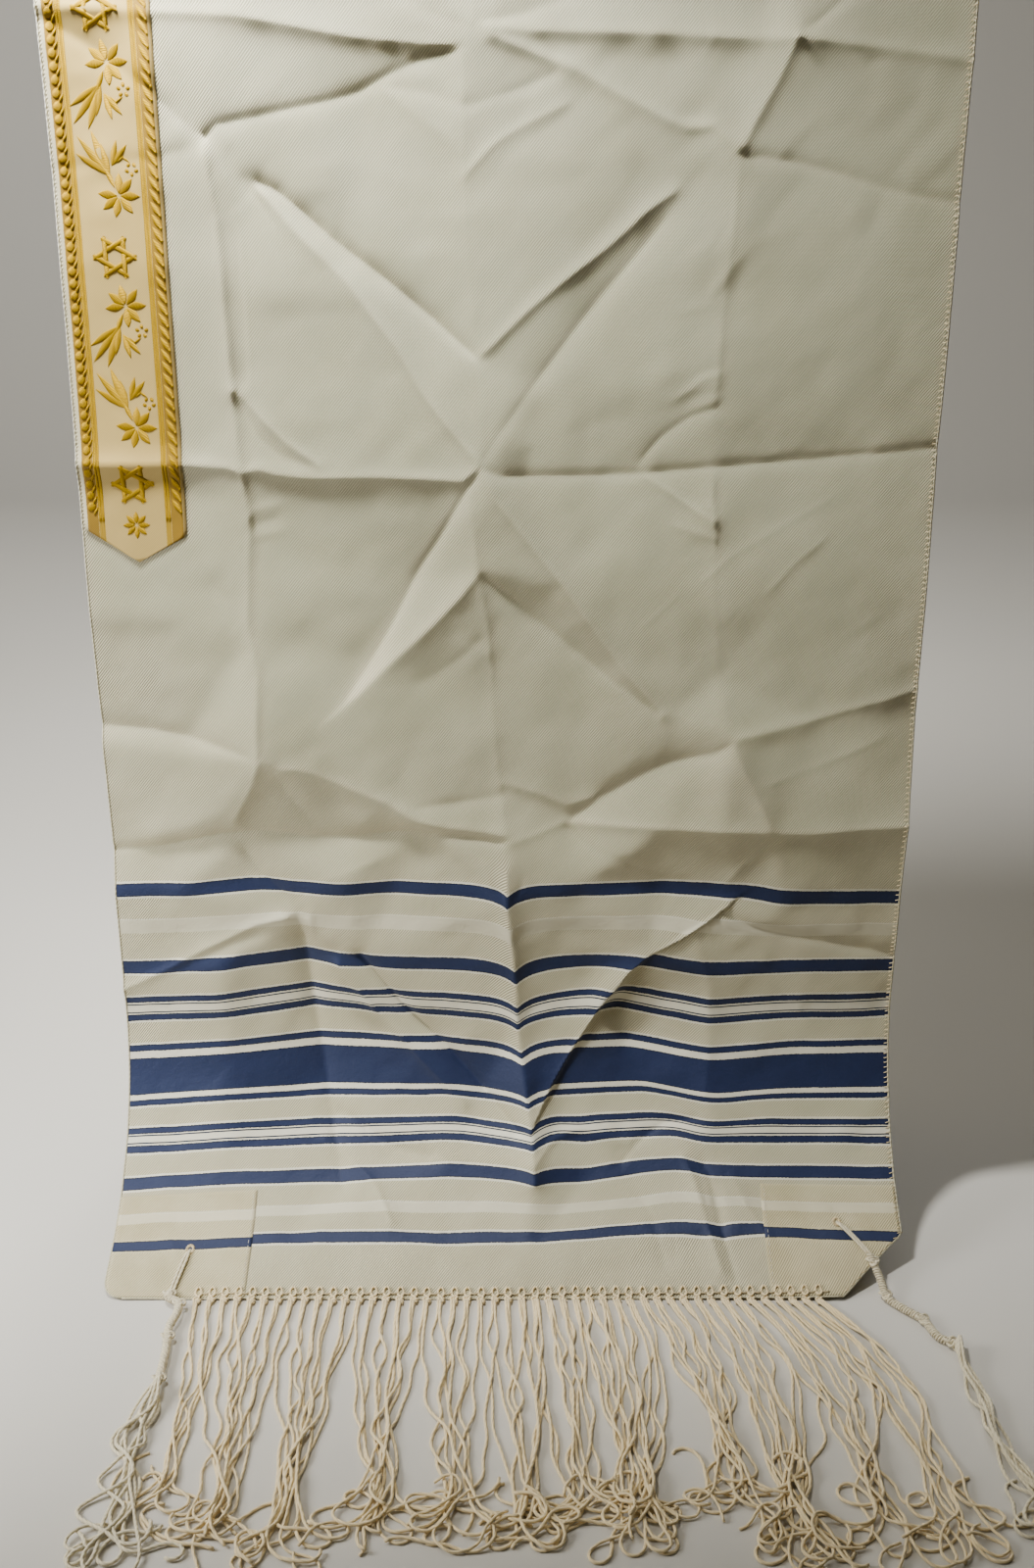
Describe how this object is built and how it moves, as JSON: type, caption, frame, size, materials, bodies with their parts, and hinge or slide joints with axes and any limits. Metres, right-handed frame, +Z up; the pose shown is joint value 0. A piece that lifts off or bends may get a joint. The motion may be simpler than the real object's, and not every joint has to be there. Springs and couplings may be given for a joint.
{
  "type": "tallit prayer shawl hung over a rod",
  "caption": "Striped fringed prayer shawl with a woven neckband, hung over a plain rod so that both ends curve out along the floor.",
  "frame": {"origin": "centre of the rod that the shawl hangs over", "axes": "+X across the shawl along the rod, -Y out of the front half, +Z up"},
  "size_m": [0.557, 0.64, 0.8594],
  "materials": {
    "cloth": "rayon twill, ivory with woven blue stripes",
    "neckband": "brocade ribbon, gold figures on a cream ground",
    "patch": "plain twill, cream",
    "fringe": "twisted rayon yarn, tan",
    "tzitzit": "twisted wool cord, cream",
    "rod": "smooth painted wood"
  },
  "bodies": {
    "root": {"rod": "rod", "shawl_cloth": "cloth", "neckband": "neckband", "corner_patch_front_left": "patch", "corner_patch_front_right": "patch", "corner_patch_back_left": "patch", "corner_patch_back_right": "patch", "fringe_front": "fringe", "fringe_back": "fringe", "tzitzit_front_left": "tzitzit", "tzitzit_front_right": "tzitzit", "tzitzit_back_left": "tzitzit", "tzitzit_back_right": "tzitzit"}
  },
  "joints": []
}
